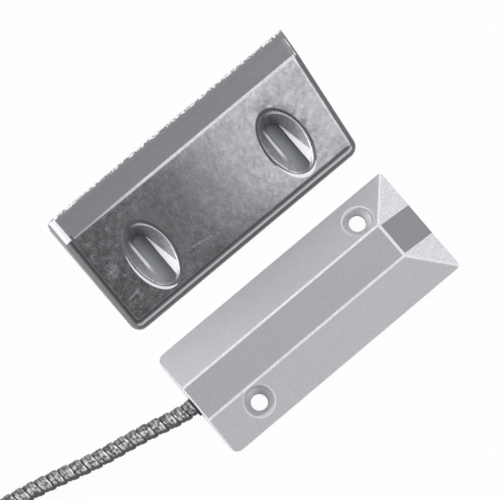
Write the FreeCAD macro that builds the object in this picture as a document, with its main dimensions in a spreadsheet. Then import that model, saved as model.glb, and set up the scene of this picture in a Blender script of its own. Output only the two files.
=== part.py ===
import FreeCAD, Part
import math
import os
import re
import Sketcher
from FreeCAD import Placement, Rotation, Vector

# Overhead door magnetic contact: a hip-ended die-cast switch unit on an armoured hose,
# and the die-cast magnet unit that stands beside it on the same surface.
# Millimetres, +Z up. X runs along the units, towards the hip end of the switch.
# The origin is on the surface, under the middle of the two housings.

doc = FreeCAD.newDocument("overhead_door_contact")

# Driving dimensions, each one written once.
SIZES = {
    # how the two units stand beside each other
    "pair_gap": 10.6,
    "magnet_overhang": 4.5,
    # switch unit, outer form
    "switch_length": 98.0,
    "switch_width": 41.2,
    "switch_height": 12.0,
    "switch_edge": 2.0,
    "crown_width": 13.4,
    "hip_length": 13.3,
    "cable_corner_radius": 3.0,
    "hip_corner_radius": 1.5,
    "ridge_round": 0.7,
    # switch unit, screw holes
    "hole_along": 31.8,
    "hole_across": 12.3,
    "screw_bore": 5.8,
    "screw_mouth": 9.8,
    "screw_seat": 5.4,
    "mouth_round": 0.4,
    # switch unit, trough on the underside
    "trough_width": 10.6,
    "trough_depth": 9.3,
    "cable_wall": 3.0,
    "trough_hip_margin": 14.5,
    # window in the hip
    "window_width": 12.2,
    "window_depth": 1.2,
    "window_drop": 0.7,
    "window_sink": 0.1,
    # reed and its leads
    "reed_height": 4.9,
    "tube_hip_gap": 5.5,
    "tube_outer": 5.0,
    "tube_bore": 3.6,
    "capsule_length": 18.0,
    "capsule_outer": 2.7,
    "capsule_wall": 0.4,
    "capsule_seal": 1.4,
    "blade_lead": 0.6,
    "blade_reach": 3.0,
    "blade_width": 1.4,
    "blade_thick": 0.25,
    "blade_lap": 2.0,
    "contact_gap": 0.08,
    "sleeve_length": 6.0,
    "sleeve_cover": 1.0,
    "sleeve_outer": 2.2,
    "wire_outer": 1.2,
    "wire_side": 0.8,
    "return_gap": 0.3,
    "return_reach": 3.4,
    "spread_run": 6.0,
    "gather_run": 11.0,
    # armoured hose
    "hose_outer": 6.0,
    "hose_play": 0.3,
    "collar_length": 5.0,
    "collar_wall": 1.3,
    "coil_radius": 33.0,
    "coil_lift": 0.5,
    "coil_lower_turn": 326.0,
    "coil_upper_start": 314.0,
    "coil_upper_turn": 260.0,
    "stub_overlap": 1.0,
    "ferrule_length": 14.0,
    "ferrule_wall": 0.4,
    "ferrule_play": 0.05,
    "grommet_length": 3.0,
    "grommet_lip": 1.0,
    "core_outer": 0.6,
    "core_length": 5.0,
    "tail_start": 4.0,
    # magnet unit, outer form
    "magnet_width": 46.5,
    "magnet_height": 15.0,
    "magnet_front": 3.75,
    "magnet_top": 9.9,
    "magnet_left": 49.7,
    "magnet_right": 52.0,
    "left_inset": 0.2,
    "right_inset": 4.7,
    "front_corner_radius": 3.8,
    "back_corner_radius": 1.0,
    "rim_round": 2.6,
    "crest_round": 1.4,
    # magnet unit, countersunk slots
    "slot_along": 29.15,
    "mouth_front_margin": 4.2,
    "mouth_back_margin": 7.6,
    "mouth_width": 15.4,
    "mouth_edge": 0.8,
    "slot_width": 4.7,
    "slot_inset": 3.0,
    "slot_shift": -1.0,
    "slot_land": 4.2,
    "land_margin": 0.4,
    "cutter_rise": 1.0,
    "facet_angle": 32.0,
    "facet_top_margin": 0.3,
    "facet_shoulder": 5.0,
    "facet_inset": 0.95,
    "facet_low_margin": 2.5,
    "facet_end": 0.3,
    # magnet unit, trough and magnets
    "bay_length": 86.0,
    "bay_width": 12.5,
    "bay_depth": 11.0,
    "bay_back_wall": 2.2,
    "bar_gap": 0.75,
    "bar_cover": 1.0,
    "bar_split": 0.5,
    # how far each cut runs past the surface it goes through
    "cut_over": 1.0,
}

sheet = doc.addObject("Spreadsheet::Sheet", "Sizes")
for row, (alias, number) in enumerate(SIZES.items(), start=1):
    sheet.set(f"A{row}", alias)
    sheet.set(f"B{row}", str(number))
    sheet.setAlias(f"B{row}", alias)
doc.recompute()

ALIAS = re.compile(r"\b([a-z]+(?:_[a-z]+)+)\b")


def formula(words):
    """The expression for words that use the sheet's names."""
    return ALIAS.sub(r"Sizes.\1", words)


def size(words):
    """The number that those words come to."""
    answer = sheet.evalExpression(formula(words))
    return float(getattr(answer, "Value", answer))


def bind(thing, **properties):
    """Ties properties to the sheet. A double underscore stands for a dot."""
    for name, words in properties.items():
        thing.setExpression(name.replace("__", "."), formula(words))


def place(thing, x="0", y="0", z="0"):
    bind(thing, Placement__Base__x=x, Placement__Base__y=y, Placement__Base__z=z)


# The middle of the switch unit, and the point of the magnet unit's front edge
# that lies midway between its slots.
SWITCH_X = "-magnet_overhang / 2"
SWITCH_Y = "-(pair_gap + magnet_width) / 2"
MAGNET_X = "(switch_length + magnet_overhang) / 2 - magnet_right"
MAGNET_Y = "(switch_width + pair_gap - magnet_width) / 2"


def new_body(label, x, y):
    body = doc.addObject("PartDesign::Body", label)
    body.Label = label
    place(body, x, y)
    return body


def new_sketch(body, name, plane, x="0", y="0", z="0", tilt=None):
    """A sketch on one of the body's own planes, moved by x, y, z in that plane's own axes."""
    sketch = body.newObject("Sketcher::SketchObject", name)
    support = next(f for f in body.Origin.OriginFeatures if f.Role == plane)
    sketch.AttachmentSupport = [(support, "")]
    sketch.MapMode = "FlatFace"
    if tilt is not None:
        sketch.AttachmentOffset = Placement(Vector(), Rotation(Vector(1, 0, 0), size(tilt)))
        bind(sketch, AttachmentOffset__Rotation__Angle=tilt)
    bind(
        sketch,
        AttachmentOffset__Base__x=x,
        AttachmentOffset__Base__y=y,
        AttachmentOffset__Base__z=z,
    )
    return sketch


def hold(sketch, geometry, end, x, y, name):
    """Holds a point of the sketch at x, y from its origin."""
    for kind, words in (("DistanceX", x), ("DistanceY", y)):
        index = sketch.addConstraint(Sketcher.Constraint(kind, -1, 1, geometry, end, size(words)))
        sketch.renameConstraint(index, f"{name}_{kind[-1]}")
        bind(sketch, **{f"Constraints__{name}_{kind[-1]}": words})


def draw_outline(sketch, corners):
    """A closed outline of straight sides through the corners."""
    spots = [Vector(size(x), size(y), 0) for x, y in corners]
    sides = [Part.LineSegment(p, q) for p, q in zip(spots, spots[1:] + spots[:1])]
    first = sketch.addGeometry(sides, False)[0]
    count = len(sides)
    for i in range(count):
        following = first + (i + 1) % count
        sketch.addConstraint(Sketcher.Constraint("Coincident", first + i, 2, following, 1))
    for i, (x, y) in enumerate(corners):
        hold(sketch, first + i, 1, x, y, f"corner{i}")


def draw_circle(sketch, x, y, radius):
    circle = Part.Circle(Vector(size(x), size(y), 0), Vector(0, 0, 1), size(radius))
    index = sketch.addGeometry(circle, False)
    hold(sketch, index, 3, x, y, "centre")
    ring = sketch.addConstraint(Sketcher.Constraint("Radius", index, size(radius)))
    sketch.renameConstraint(ring, "radius")
    bind(sketch, Constraints__radius=radius)


def draw_ellipse(sketch, long_radius, short_radius):
    """An ellipse about the sketch's origin, its long axis upright."""
    ends = Vector(0, size(long_radius), 0), Vector(size(short_radius), 0, 0)
    index = sketch.addGeometry(Part.Ellipse(*ends, Vector()), False)
    sketch.exposeInternalGeometry(index)
    sketch.addConstraint(Sketcher.Constraint("Coincident", index, 3, -1, 1))
    sketch.addConstraint(Sketcher.Constraint("Vertical", index + 1))
    for axis, words, name in ((1, long_radius, "long_axis"), (2, short_radius, "short_axis")):
        words = f"2 * ({words})"
        held = sketch.addConstraint(Sketcher.Constraint("Distance", index + axis, size(words)))
        sketch.renameConstraint(held, name)
        bind(sketch, **{f"Constraints__{name}": words})


def draw_slot(sketch, width, length):
    """A round-ended slot about the sketch's origin, upright."""
    radius = size(width) / 2
    reach = (size(length) - size(width)) / 2
    top = Part.Circle(Vector(0, reach, 0), Vector(0, 0, 1), radius)
    bottom = Part.Circle(Vector(0, -reach, 0), Vector(0, 0, 1), radius)
    first = sketch.addGeometry(
        [
            Part.ArcOfCircle(top, 0, math.pi),
            Part.LineSegment(Vector(-radius, reach, 0), Vector(-radius, -reach, 0)),
            Part.ArcOfCircle(bottom, math.pi, 2 * math.pi),
            Part.LineSegment(Vector(radius, -reach, 0), Vector(radius, reach, 0)),
        ],
        False,
    )[0]
    for i in range(4):
        joint = Sketcher.Constraint("Tangent", first + i, 2, first + (i + 1) % 4, 1)
        sketch.addConstraint(joint)
    hold(sketch, first, 3, "0", f"({length} - {width}) / 2", "top")
    hold(sketch, first + 2, 3, "0", f"({width} - {length}) / 2", "bottom")
    ring = sketch.addConstraint(Sketcher.Constraint("Radius", first, radius))
    sketch.renameConstraint(ring, "radius")
    bind(sketch, Constraints__radius=f"{width} / 2")


def extrude(body, kind, sketch, length, both_ways=False, backwards=False):
    """A Pad or Pocket of the sketch."""
    feature = body.newObject(f"PartDesign::{kind}", f"{sketch.Name}_{kind}")
    feature.Profile = sketch
    feature.SideType = "Symmetric" if both_ways else "One side"
    feature.Reversed = backwards
    bind(feature, Length=length)
    sketch.Visibility = False
    doc.recompute()
    return feature


def turn(body, kind, sketch):
    """A Revolution or Groove of the sketch about its own upright axis."""
    feature = body.newObject(f"PartDesign::{kind}", f"{sketch.Name}_{kind}")
    feature.Profile = sketch
    feature.ReferenceAxis = (sketch, ["V_Axis"])
    feature.Angle = 360
    doc.recompute()
    return feature


def round_edges(body, name, radius, wanted):
    """Fillets the edges of the body's last feature that wanted(edge) picks."""
    base = body.Tip
    picked = [f"Edge{i}" for i, edge in enumerate(base.Shape.Edges, start=1) if wanted(edge)]
    fillet = body.newObject("PartDesign::Fillet", name)
    fillet.Base = (base, picked)
    bind(fillet, Radius=radius)
    doc.recompute()
    return fillet


def middle(edge):
    """The middle of an edge."""
    return edge.valueAt((edge.FirstParameter + edge.LastParameter) / 2)


def near(a, b):
    return abs(a - b) < 0.01


def route_wire(points, thickness, label):
    """Straight runs joined by tangent arcs, each arc as large as its two runs allow."""
    spots = [Vector(*p) for p in points]
    edges = []
    radii = []
    start = spots[0]
    for before, corner, after in zip(spots, spots[1:], spots[2:]):
        inward = (corner - before).normalize()
        outward = (after - corner).normalize()
        half_turn = inward.getAngle(outward) / 2
        trim = 0.45 * min((corner - before).Length, (after - corner).Length)
        radius = trim / math.tan(half_turn)
        bulge = radius / math.cos(half_turn) - radius
        toward_centre = (outward - inward).normalize()
        arc_start = corner - inward * trim
        arc_end = corner + outward * trim
        edges.append(Part.LineSegment(start, arc_start).toShape())
        edges.append(Part.Arc(arc_start, corner + toward_centre * bulge, arc_end).toShape())
        radii.append(radius)
        start = arc_end
    edges.append(Part.LineSegment(start, spots[-1]).toShape())
    wire = Part.Wire(edges)
    listed = ", ".join(f"{r:.1f}" for r in radii)
    print(f"{label}: {wire.Length:.1f} mm long, {thickness:.1f} mm thick, arc radii {listed}")
    return wire


def round_cord(label, points, diameter):
    """A plain round cord along a route of points."""
    thickness = size(diameter)
    wire = route_wire(points, thickness, label)
    heading = wire.Edges[0].tangentAt(wire.Edges[0].FirstParameter)
    ring = Part.Circle(Vector(*points[0]), heading, thickness / 2).toShape()
    shape = wire.makePipeShell([Part.Wire([ring])], True, False)
    expected = math.pi * thickness**2 / 4 * wire.Length
    if abs(shape.Volume - expected) > 0.002 * expected:
        raise ValueError(f"{label}: volume {shape.Volume:.1f}, expected {expected:.1f}")
    cord = doc.addObject("Part::Feature", label)
    cord.Label = label
    cord.Shape = shape
    return cord


def switch_point(x, y="0", z="reed_height"):
    """A point given from the middle of the switch unit, in the row's own frame."""
    return size(f"{SWITCH_X} + {x}"), size(f"{SWITCH_Y} + {y}"), size(z)


SUBPARTS = []


def keep(thing):
    SUBPARTS.append(thing)
    return thing


# Switch housing: one aluminium casting with a flat crown, sloping flanks and a hipped end.
HIP_START = "switch_length / 2 - hip_length"
HIP_SLOPE = "atan((switch_height - switch_edge) / hip_length)"
CABLE_END = "-switch_length / 2"


def build_switch_housing():
    body = new_body("switch_housing", SWITCH_X, SWITCH_Y)
    section = new_sketch(body, "switch_section", "YZ_Plane")
    draw_outline(
        section,
        [
            ("-switch_width / 2", "0"),
            ("switch_width / 2", "0"),
            ("switch_width / 2", "switch_edge"),
            ("crown_width / 2", "switch_height"),
            ("-crown_width / 2", "switch_height"),
            ("-switch_width / 2", "switch_edge"),
        ],
    )
    extrude(body, "Pad", section, "switch_length", both_ways=True)
    hip = new_sketch(body, "hip_cut", "XZ_Plane")
    draw_outline(
        hip,
        [
            (HIP_START, "switch_height"),
            ("switch_length / 2", "switch_edge"),
            ("switch_length / 2 + cut_over", "switch_edge"),
            ("switch_length / 2 + cut_over", "switch_height + cut_over"),
            (HIP_START, "switch_height + cut_over"),
        ],
    )
    extrude(body, "Pocket", hip, "switch_width + 2 * cut_over", both_ways=True)
    half = size("switch_length / 2")
    edge_height = size("switch_edge")

    def upright(edge, x):
        spot = middle(edge)
        return near(spot.x, x) and near(spot.z, edge_height / 2) and near(edge.Length, edge_height)

    round_edges(body, "cable_corners", "cable_corner_radius", lambda e: upright(e, -half))
    round_edges(body, "hip_corners", "hip_corner_radius", lambda e: upright(e, half))

    crown = size("crown_width / 2")
    top = size("switch_height")
    hip_start = size(HIP_START)

    def on_ridge(edge):
        ends = [vertex.Point for vertex in edge.Vertexes]
        crown_line = all(near(p.z, top) and near(abs(p.y), crown) for p in ends)
        crown_end = all(near(p.z, top) and near(p.x, hip_start) for p in ends)
        hip_line = any(near(p.z, top) for p in ends) and all(p.x > hip_start - 0.01 for p in ends)
        return crown_line or crown_end or hip_line

    round_edges(body, "ridges", "ridge_round", on_ridge)

    trough = new_sketch(body, "trough", "XY_Plane")
    cable_side = "-(switch_length / 2 - cable_wall)"
    hip_side = "switch_length / 2 - trough_hip_margin"
    draw_outline(
        trough,
        [
            (cable_side, "-trough_width / 2"),
            (hip_side, "-trough_width / 2"),
            (hip_side, "trough_width / 2"),
            (cable_side, "trough_width / 2"),
        ],
    )
    extrude(body, "Pocket", trough, "trough_depth", backwards=True)

    bore = new_sketch(body, "hose_bore", "YZ_Plane", z=f"{CABLE_END} - cut_over")
    draw_circle(bore, "0", "reed_height", "hose_outer / 2 + hose_play")
    extrude(body, "Pocket", bore, "cable_wall + 2 * cut_over", backwards=True)

    window = new_sketch(body, "window_seat", "XZ_Plane")
    draw_outline(window, window_section("window_depth", "cut_over"))
    extrude(body, "Pocket", window, "window_width", both_ways=True)

    hole = new_sketch(body, "screw_hole", "XZ_Plane", x="hole_along", z="-hole_across")
    draw_outline(
        hole,
        [
            ("0", "-cut_over"),
            ("screw_bore / 2", "-cut_over"),
            ("screw_bore / 2", "screw_seat - (screw_mouth - screw_bore) / 2"),
            ("screw_mouth / 2", "screw_seat"),
            ("screw_mouth / 2", "switch_height + cut_over"),
            ("0", "switch_height + cut_over"),
        ],
    )
    groove = turn(body, "Groove", hole)
    pair = body.newObject("PartDesign::PolarPattern", "screw_holes")
    pair.Originals = [groove]
    pair.Axis = (next(f for f in body.Origin.OriginFeatures if f.Role == "Z_Axis"), [""])
    pair.Angle = 360
    pair.Occurrences = 2
    body.Tip = pair
    doc.recompute()

    along = size("hole_along")
    across = size("hole_across")
    mouth = size("screw_mouth / 2")
    above_seat = size("screw_seat + mouth_round")

    def on_mouth(edge):
        if edge.Length < mouth:
            return False
        spots = [edge.valueAt(t) for t in (edge.FirstParameter, edge.LastParameter)]
        spots.append(middle(edge))
        side = 1 if spots[0].x > 0 else -1
        away = [math.hypot(p.x - side * along, p.y - side * across) for p in spots]
        return all(near(a, mouth) for a in away) and max(p.z for p in spots) > above_seat

    round_edges(body, "hole_mouths", "mouth_round", on_mouth)
    return body


def window_section(depth, proud):
    """Side view of a slab let into the hip: depth below the hip's face, and proud above it."""
    down = f"({depth}) / cos({HIP_SLOPE})"
    up = f"({proud}) / cos({HIP_SLOPE})"
    start = f"({HIP_START} + window_drop)"
    start_height = f"(switch_height - window_drop * tan({HIP_SLOPE}))"
    return [
        (start, f"{start_height} + {up}"),
        (start, f"{start_height} - {down}"),
        ("switch_length / 2", f"switch_edge - {down}"),
        ("switch_length / 2 + cut_over", f"switch_edge - {down}"),
        ("switch_length / 2 + cut_over", f"switch_edge + {up}"),
        ("switch_length / 2", f"switch_edge + {up}"),
    ]


# Window: a smooth dark plastic slip in the hip, from under the crown to the lower edge.
def build_end_window():
    body = new_body("end_window", SWITCH_X, SWITCH_Y)
    slip = new_sketch(body, "window_slip", "XZ_Plane")
    corners = window_section("window_depth", "-window_sink")
    draw_outline(slip, [corners[i] for i in (0, 1, 2, 5)])
    extrude(body, "Pad", slip, "window_width", both_ways=True)
    return body


# Reed: a glass capsule with two overlapping blades, in a plastic tube that covers its joints
# and lies at the hip end of the trough, next to the magnet's field.
TUBE_LENGTH = "(capsule_length + blade_reach + 2 * sleeve_length + 2 * sleeve_cover)"
TUBE_END = "(switch_length / 2 - trough_hip_margin - tube_hip_gap)"
TUBE_START = f"({TUBE_END} - {TUBE_LENGTH})"
CAPSULE_MIDDLE = f"({TUBE_END} - {TUBE_LENGTH} / 2)"
CAPSULE_START = f"({CAPSULE_MIDDLE} - capsule_length / 2)"
CAPSULE_END = f"({CAPSULE_MIDDLE} + capsule_length / 2)"


def turned_along_x(label, start, profile):
    """A body turned about an axis along X. The profile runs from the axis outwards, and
    along X from start."""
    body = new_body(label, f"{SWITCH_X} + {start}", SWITCH_Y)
    bind(body, Placement__Base__z="reed_height")
    sketch = new_sketch(body, f"{label}_profile", "XZ_Plane")
    draw_outline(sketch, profile)
    feature = body.newObject("PartDesign::Revolution", f"{label}_turned")
    feature.Profile = sketch
    feature.ReferenceAxis = (sketch, ["H_Axis"])
    feature.Angle = 360
    doc.recompute()
    return body


def sleeve_profile(bore, outer, length):
    return [
        ("0", f"{bore} / 2"),
        (length, f"{bore} / 2"),
        (length, f"{outer} / 2"),
        ("0", f"{outer} / 2"),
    ]


def build_reed_tube():
    profile = sleeve_profile("tube_bore", "tube_outer", TUBE_LENGTH)
    return turned_along_x("reed_tube", TUBE_START, profile)


def build_reed_capsule():
    lead = "blade_lead / 2"
    outer = "capsule_outer / 2"
    inner = "capsule_outer / 2 - capsule_wall"
    profile = [
        ("0", lead),
        ("0", f"{outer} - capsule_wall"),
        ("capsule_wall * 2", outer),
        ("capsule_length - capsule_wall * 2", outer),
        ("capsule_length", f"{outer} - capsule_wall"),
        ("capsule_length", lead),
        ("capsule_length - capsule_seal", lead),
        ("capsule_length - capsule_seal - capsule_wall", inner),
        ("capsule_seal + capsule_wall", inner),
        ("capsule_seal", lead),
    ]
    return turned_along_x("reed_capsule", CAPSULE_START, profile)


def build_reed_blade(label, side):
    """A wire that passes through the capsule's end and is flattened to a blade inside it.
    side is -1 at the cable end and 1 at the hip end."""
    seal = "capsule_length / 2 - capsule_seal"
    wire = doc.addObject("Part::Cylinder", f"{label}_wire")
    wire_length = "blade_reach + capsule_seal + 2 * capsule_wall"
    bind(wire, Radius="blade_lead / 2", Height=wire_length)
    wire.Placement.Rotation = Rotation(Vector(0, 1, 0), 90)
    inner_end = f"{SWITCH_X} + {CAPSULE_MIDDLE} + {side} * ({seal} - 2 * capsule_wall)"
    wire_start = inner_end if side > 0 else f"{inner_end} - ({wire_length})"
    place(wire, wire_start, SWITCH_Y, "reed_height")
    blade = doc.addObject("Part::Box", f"{label}_flat")
    bind(
        blade,
        Length=f"{seal} - 1.5 * capsule_wall + blade_lap / 2",
        Width="blade_width",
        Height="blade_thick",
    )
    tip = f"{SWITCH_X} + {CAPSULE_MIDDLE} - {side} * blade_lap / 2"
    blade_start = tip if side > 0 else f"{tip} - ({seal} - 1.5 * capsule_wall + blade_lap / 2)"
    lift = "contact_gap / 2" if side > 0 else "-contact_gap / 2 - blade_thick"
    place(blade, blade_start, f"{SWITCH_Y} - blade_width / 2", f"reed_height + {lift}")
    fused = doc.addObject("Part::Fuse", label)
    fused.Label = label
    fused.Base = wire
    fused.Tool = blade
    return fused


# Joints and leads: each blade is soldered to an insulated lead under a shrink sleeve.
# The far lead turns back along the tube, and both run to the end of the hose.
SLEEVE_A = f"({CAPSULE_START} - blade_reach / 2 - sleeve_length)"
SLEEVE_B = f"({CAPSULE_END} + blade_reach / 2)"
HOSE_START = f"({CABLE_END} + cable_wall + collar_length)"


def build_lead_sleeve(label, start):
    profile = sleeve_profile("wire_outer", "sleeve_outer", "sleeve_length")
    return turned_along_x(label, start, profile)


def build_inner_lead_a():
    points = [
        switch_point(f"{CAPSULE_START} - blade_reach"),
        switch_point(f"{TUBE_START} - spread_run"),
        switch_point(f"{HOSE_START} + gather_run", "-wire_side"),
        switch_point(HOSE_START, "-wire_side"),
    ]
    return round_cord("inner_lead_a", points, "wire_outer")


def build_inner_lead_b():
    return_line = "tube_outer / 2 + wire_outer / 2 + return_gap"
    turn_back = f"{TUBE_END} + return_reach"
    points = [
        switch_point(f"{CAPSULE_END} + blade_reach"),
        switch_point(turn_back),
        switch_point(turn_back, return_line),
        switch_point(f"{TUBE_START} - spread_run", return_line),
        switch_point(f"{HOSE_START} + gather_run", "wire_side"),
        switch_point(HOSE_START, "wire_side"),
    ]
    return round_cord("inner_lead_b", points, "wire_outer")


# Collar: a ring crimped on the hose inside the end wall, so that the hose can't pull out.
def build_hose_collar():
    profile = sleeve_profile("hose_outer", "(hose_outer + 2 * collar_wall)", "collar_length")
    return turned_along_x("hose_collar", f"{CABLE_END} + cable_wall", profile)


# Potting: resin that fills the trough round all of these, level with the base.
def build_switch_potting(embedded):
    block = doc.addObject("Part::Box", "switch_resin_block")
    bind(
        block,
        Length="switch_length - cable_wall - trough_hip_margin",
        Width="trough_width",
        Height="trough_depth",
    )
    place(
        block,
        f"{SWITCH_X} + {CABLE_END} + cable_wall",
        f"{SWITCH_Y} - trough_width / 2",
    )
    room = doc.addObject("Part::Cylinder", "tube_room")
    bind(room, Radius="tube_outer / 2", Height=TUBE_LENGTH)
    room.Placement.Rotation = Rotation(Vector(0, 1, 0), 90)
    place(room, f"{SWITCH_X} + {TUBE_START}", SWITCH_Y, "reed_height")
    hose_room = doc.addObject("Part::Cylinder", "hose_room")
    bind(hose_room, Radius="hose_outer / 2", Height="collar_length")
    hose_room.Placement.Rotation = Rotation(Vector(0, 1, 0), 90)
    place(hose_room, f"{SWITCH_X} + {CABLE_END} + cable_wall", SWITCH_Y, "reed_height")
    rooms = doc.addObject("Part::MultiFuse", "switch_resin_rooms")
    rooms.Shapes = [room, hose_room, *embedded]
    potting = doc.addObject("Part::Cut", "switch_potting")
    potting.Label = "switch_potting"
    potting.Base = block
    potting.Tool = rooms
    return potting


# Armoured hose: from the collar through the end wall, down to the surface and away in a
# long gentle bend, then two turns of coil, one on the other.
COIL_X = -152.0
COIL_Y = 21.5


def hose_route():
    radius = size("coil_radius")
    rest = size("hose_outer / 2")
    exit_height = size("reed_height")
    return [
        switch_point(HOSE_START),
        (-54.0, size(SWITCH_Y), exit_height),
        (-69.5, -24.3, 3.9),
        (-88.0, -21.0, rest + 0.1),
        (-105.5, -15.9, rest),
        (-122.0, -12.6, rest),
        (-138.5, COIL_Y - radius, rest),
        (COIL_X, COIL_Y - radius, rest),
    ]


def ring_sector(name, start_turn, turned, bottom, height):
    """Part of a flat ring. Turns are counted clockwise from where the hose meets the coil."""
    outer = doc.addObject("Part::Cylinder", f"{name}_outer")
    bind(outer, Radius="coil_radius + hose_outer / 2", Height=height, Angle=turned)
    inner = doc.addObject("Part::Cylinder", f"{name}_inner")
    bind(inner, Radius="coil_radius - hose_outer / 2", Height=height)
    for thing in (outer, inner):
        thing.Placement.Rotation = Rotation(Vector(0, 0, 1), -90 - size(start_turn) - size(turned))
        place(thing, str(COIL_X), str(COIL_Y), bottom)
    sector = doc.addObject("Part::Cut", name)
    sector.Base = outer
    sector.Tool = inner
    return sector


def coil_end():
    """Where the hose leaves the upper turn, and the direction in which it leaves."""
    angle = math.radians(-90 - size("coil_upper_start + coil_upper_turn"))
    radius = size("coil_radius")
    height = size("hose_outer * 1.5 + coil_lift")
    spot = Vector(COIL_X + radius * math.cos(angle), COIL_Y + radius * math.sin(angle), height)
    return spot, Vector(math.sin(angle), -math.cos(angle), 0)


def build_hose_coil():
    lower = ring_sector("lower_turn", "0", "coil_lower_turn", "0", "hose_outer")
    upper = ring_sector(
        "upper_turn",
        "coil_upper_start",
        "coil_upper_turn",
        "hose_outer",
        "hose_outer + coil_lift",
    )
    spot, heading = coil_end()
    stub = doc.addObject("Part::Cylinder", "hose_stub")
    stub_length = "ferrule_length - grommet_length + stub_overlap"
    bind(stub, Radius="hose_outer / 2 - ferrule_play", Height=stub_length)
    stub_start = spot - heading * size("stub_overlap")
    stub.Placement = Placement(stub_start, Rotation(Vector(0, 0, 1), heading))
    coil = doc.addObject("Part::MultiFuse", "armoured_hose_coil")
    coil.Label = "armoured_hose_coil"
    coil.Shapes = [lower, upper, stub]
    return coil


# Hose end: a thin ferrule over the cut end, and a rubber grommet that the two leads leave by.
def turned_at_coil_end(label, profile, distance):
    """A body turned about the hose's own axis, at a distance past the end of the coil."""
    body = doc.addObject("PartDesign::Body", label)
    body.Label = label
    sketch = new_sketch(body, f"{label}_profile", "XZ_Plane")
    draw_outline(sketch, profile)
    turn(body, "Revolution", sketch)
    spot, heading = coil_end()
    body.Placement = Placement(
        spot + heading * size(distance), Rotation(Vector(0, 0, 1), heading)
    )
    doc.recompute()
    return body


def build_hose_end_ferrule():
    bore = "hose_outer / 2 + ferrule_play"
    outer = "hose_outer / 2 + ferrule_play + ferrule_wall"
    profile = [(bore, "0"), (outer, "0"), (outer, "ferrule_length"), (bore, "ferrule_length")]
    return turned_at_coil_end("hose_end_ferrule", profile, "0")


def build_end_grommet():
    plug = "hose_outer / 2 + ferrule_play"
    lip = "hose_outer / 2 + ferrule_play + ferrule_wall"
    profile = [
        ("0", "0"),
        (plug, "0"),
        (plug, "grommet_length"),
        (lip, "grommet_length"),
        (lip, "grommet_length + grommet_lip / 2"),
        ("wire_side + wire_outer", "grommet_length + grommet_lip"),
        ("0", "grommet_length + grommet_lip"),
    ]
    return turned_at_coil_end("end_grommet", profile, "ferrule_length - grommet_length")


# Lead tails: the two insulated leads lie on the coil's lower turn, and end stripped.
# Each step is the turn past the grommet in degrees, the distance from the coil's centre
# and the height over the lower turn.
TAIL_STEPS = (
    (15.0, 37.2, 1.6),
    (25.0, 35.8, 0.2),
    (35.0, 34.4, 0.1),
    (45.0, 33.2, 0.1),
    (55.0, 32.8, 0.1),
)


def tail_route(side):
    """Points past the grommet, curving round with the lower turn. side is -1 or 1."""
    spot, heading = coil_end()
    sideways = heading.cross(Vector(0, 0, 1))
    start = spot + heading * size("ferrule_length + grommet_lip")
    leave = start + sideways * side * size("wire_side")
    points = [tuple(leave), tuple(leave + heading * size("tail_start"))]
    from_centre = start - Vector(COIL_X, COIL_Y, 0)
    first_angle = math.degrees(math.atan2(from_centre.y, from_centre.x))
    for turned, distance, lift in TAIL_STEPS:
        angle = math.radians(first_angle - turned)
        away = distance - side * size("wire_side")
        height = size("hose_outer + wire_outer / 2") + lift
        points.append((COIL_X + away * math.cos(angle), COIL_Y + away * math.sin(angle), height))
    return points


def build_lead_tail(label, side):
    return round_cord(label, tail_route(side), "wire_outer")


def build_lead_core(label, side):
    """The bare end of the conductor."""
    before, tip = (Vector(*p) for p in tail_route(side)[-2:])
    core = doc.addObject("Part::Cylinder", label)
    core.Label = label
    bind(core, Radius="core_outer / 2", Height="core_length")
    core.Placement = Placement(tip, Rotation(Vector(0, 0, 1), tip - before))
    return core


# Magnet housing: one casting with a flat top along the back, an inclined face that falls to
# the front, rounded edges and two oval countersunk slots.
FACE_SLOPE = "atan((magnet_height - magnet_front) / (magnet_width - magnet_top))"
RIDGE_Y = "(magnet_width - magnet_top)"
MOUTH_REACH = f"(({RIDGE_Y} - mouth_front_margin - mouth_back_margin) / 2)"
MOUTH_LENGTH = f"(2 * {MOUTH_REACH} / cos({FACE_SLOPE}))"
MOUTH_Y = f"(mouth_front_margin + {MOUTH_REACH})"
MOUTH_Z = f"(magnet_front + {MOUTH_Y} * tan({FACE_SLOPE}))"
SLOT_Y = f"({MOUTH_Y} + slot_shift)"
SLOT_LENGTH = f"({MOUTH_LENGTH} - 2 * slot_inset)"

# Each side of a slot has a plane facet that rises from the slot's edge. Its plan is a
# triangle: its top and its low end lie on the slot, its shoulder just inside the mouth.
FACET_TOP_Y = f"({SLOT_Y} + {SLOT_LENGTH} / 2 - slot_width / 2 - facet_top_margin)"
FACET_LOW_Y = f"({MOUTH_Y} - {MOUTH_REACH} + facet_low_margin)"
FACET_SHOULDER_Y = f"({MOUTH_Y} - {MOUTH_REACH} + facet_shoulder)"
FACET_SHOULDER_X = (
    f"(mouth_width / 2 * sqrt(1 - pow(1 - facet_shoulder / {MOUTH_REACH}; 2)) - facet_inset)"
)


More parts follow.
